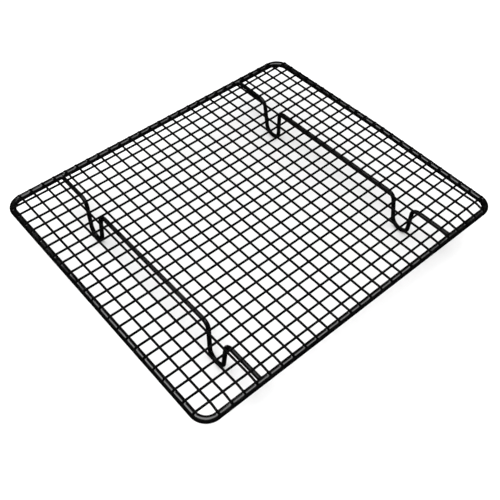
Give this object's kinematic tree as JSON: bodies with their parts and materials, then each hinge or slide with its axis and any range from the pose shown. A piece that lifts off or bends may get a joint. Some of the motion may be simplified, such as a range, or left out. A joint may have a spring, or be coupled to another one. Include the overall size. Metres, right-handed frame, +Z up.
{
  "type": "cooling rack",
  "caption": "Rectangular wire cooling rack: thick rounded rim, square grid of thin welded wires, and two bent leg wires with U-shaped feet that hold it above the worktop.",
  "frame": {"origin": "On the floor, in the middle of the rack's footprint.", "axes": "+X along the rack's long side, +Y along its short side and along the leg wires, +Z up from the worktop."},
  "size_m": [0.28, 0.2439, 0.0393],
  "materials": {
    "rim_coating": "black non-stick coating over steel wire, satin to semi-gloss, slightly uneven",
    "leg_coating": "black non-stick coating over steel wire, satin to semi-gloss, rubbed under the feet",
    "grid_coating": "black non-stick coating over thin steel wire, satin, thicker where wires cross"
  },
  "bodies": {
    "root": {"rim_wire": "rim_coating", "leg_wire_left": "leg_coating", "leg_wire_right": "leg_coating", "long_wire_01": "grid_coating", "long_wire_02": "grid_coating", "long_wire_03": "grid_coating", "long_wire_04": "grid_coating", "long_wire_05": "grid_coating", "long_wire_06": "grid_coating", "long_wire_07": "grid_coating", "long_wire_08": "grid_coating", "long_wire_09": "grid_coating", "long_wire_10": "grid_coating", "long_wire_11": "grid_coating", "long_wire_12": "grid_coating", "long_wire_13": "grid_coating", "long_wire_14": "grid_coating", "long_wire_15": "grid_coating", "long_wire_16": "grid_coating", "long_wire_17": "grid_coating", "long_wire_18": "grid_coating", "long_wire_19": "grid_coating", "long_wire_20": "grid_coating", "long_wire_21": "grid_coating", "long_wire_22": "grid_coating", "long_wire_23": "grid_coating", "short_wire_01": "grid_coating", "short_wire_02": "grid_coating", "short_wire_03": "grid_coating", "short_wire_04": "grid_coating", "short_wire_05": "grid_coating", "short_wire_06": "grid_coating", "short_wire_07": "grid_coating", "short_wire_08": "grid_coating", "short_wire_09": "grid_coating", "short_wire_10": "grid_coating", "short_wire_11": "grid_coating", "short_wire_12": "grid_coating", "short_wire_13": "grid_coating", "short_wire_14": "grid_coating", "short_wire_15": "grid_coating", "short_wire_16": "grid_coating", "short_wire_17": "grid_coating", "short_wire_18": "grid_coating", "short_wire_19": "grid_coating", "short_wire_20": "grid_coating", "short_wire_21": "grid_coating", "short_wire_22": "grid_coating", "short_wire_23": "grid_coating", "short_wire_24": "grid_coating", "short_wire_25": "grid_coating", "short_wire_26": "grid_coating"}
  },
  "joints": []
}
